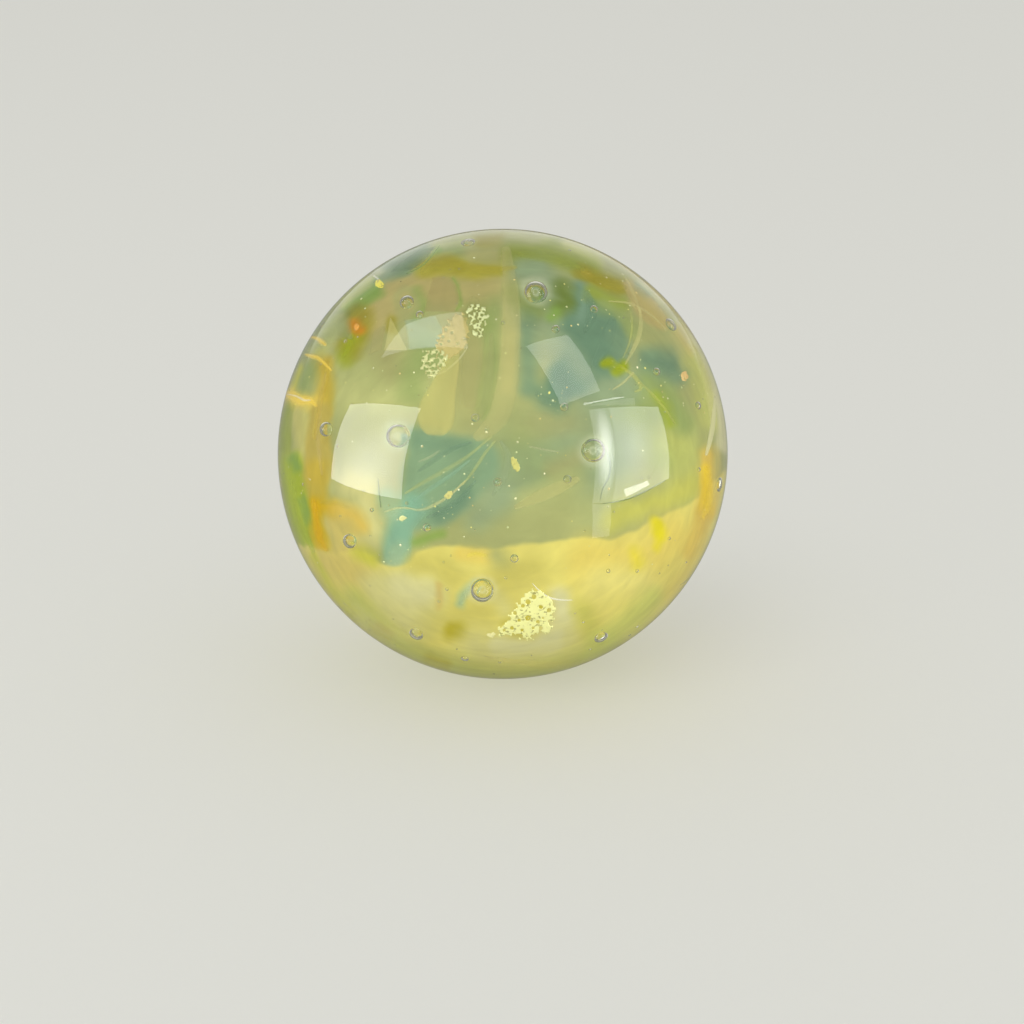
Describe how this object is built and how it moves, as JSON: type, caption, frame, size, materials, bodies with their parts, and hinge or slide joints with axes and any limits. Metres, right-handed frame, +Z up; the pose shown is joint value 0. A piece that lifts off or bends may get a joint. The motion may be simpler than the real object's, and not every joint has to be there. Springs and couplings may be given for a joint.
{
  "type": "glass marble",
  "caption": "Solid glass ball with clear skin over yellow and green opal glass, with veils, threads, foil flakes and air bubbles inside.",
  "frame": {"origin": "centre of the ball", "axes": "+Z up through the top of the swirl, -Y towards the best side of the swirl, +X to the viewer's right from that side"},
  "size_m": [0.036, 0.036, 0.036],
  "materials": {
    "clear_glass": "fire polished, clear",
    "green_opal_glass": "milky, translucent",
    "yellow_opal_glass": "milky, translucent",
    "teal_glass": "translucent veil",
    "tan_glass": "translucent veil",
    "amber_glass": "translucent veil",
    "cream_glass": "opaque thread",
    "gold_foil": "crumpled leaf, bright"
  },
  "bodies": {
    "root": {"clear_casing": "clear_glass", "green_opal": "green_opal_glass", "yellow_opal": "yellow_opal_glass", "teal_veils": "teal_glass", "tan_curtains": "tan_glass", "amber_veils": "amber_glass", "glass_threads": "cream_glass", "foil_flakes": "gold_foil"}
  },
  "joints": []
}
